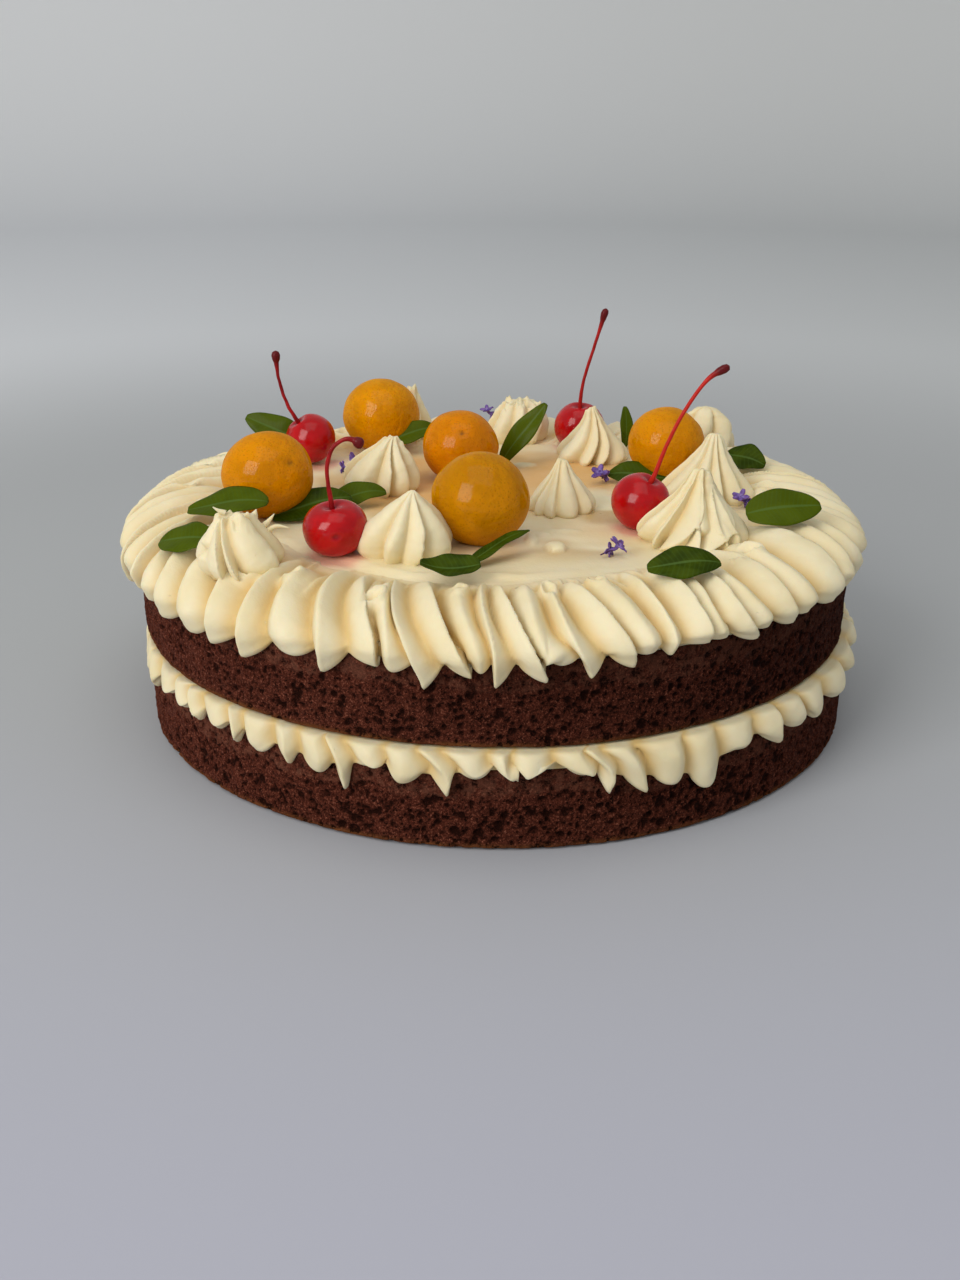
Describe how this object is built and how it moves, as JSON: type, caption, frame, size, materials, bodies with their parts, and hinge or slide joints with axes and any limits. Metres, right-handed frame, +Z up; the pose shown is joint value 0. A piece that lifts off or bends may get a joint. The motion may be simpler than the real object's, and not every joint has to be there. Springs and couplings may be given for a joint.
{
  "type": "fresh cream fruit cake",
  "caption": "Round two-layer chocolate sponge cake with piped cream filling and border, topped with candied fruit, cherries, cream kisses, leaves and florets.",
  "frame": {"origin": "middle of the lower sponge's underside", "axes": "+Z up, -Y towards the side that the picture shows, +X to that side's right"},
  "size_m": [0.2349, 0.2345, 0.1123],
  "materials": {
    "sponge": "matte, dark porous chocolate crumb",
    "cream": "satin, pale ivory cream",
    "fruit": "glossy, fine-pored orange-yellow peel",
    "cherry": "glossy, translucent red",
    "stem": "satin, dark red",
    "leaf": "satin, green with a pale midrib",
    "floret": "matte violet"
  },
  "bodies": {
    "root": {"lower_sponge": "sponge", "filling": "cream", "upper_sponge": "sponge", "cream_top": "cream", "cream_border": "cream", "kiss_1": "cream", "kiss_2": "cream", "kiss_3": "cream", "kiss_4": "cream", "kiss_5": "cream", "kiss_6": "cream", "kiss_7": "cream", "kiss_8": "cream", "kiss_9": "cream", "kiss_10": "cream", "fruit_1": "fruit", "fruit_2": "fruit", "fruit_3": "fruit", "fruit_4": "fruit", "fruit_5": "fruit", "cherry_1": "cherry", "cherry_2": "cherry", "cherry_3": "cherry", "cherry_4": "cherry", "cherry_1_stem": "stem", "cherry_2_stem": "stem", "cherry_3_stem": "stem", "cherry_4_stem": "stem", "leaf_1": "leaf", "leaf_2": "leaf", "leaf_3": "leaf", "leaf_4": "leaf", "leaf_5": "leaf", "leaf_6": "leaf", "leaf_7": "leaf", "leaf_8": "leaf", "leaf_9": "leaf", "leaf_10": "leaf", "leaf_11": "leaf", "leaf_12": "leaf", "leaf_13": "leaf", "leaf_14": "leaf", "floret_1": "floret", "floret_2": "floret", "floret_3": "floret", "floret_4": "floret", "floret_5": "floret"}
  },
  "joints": []
}
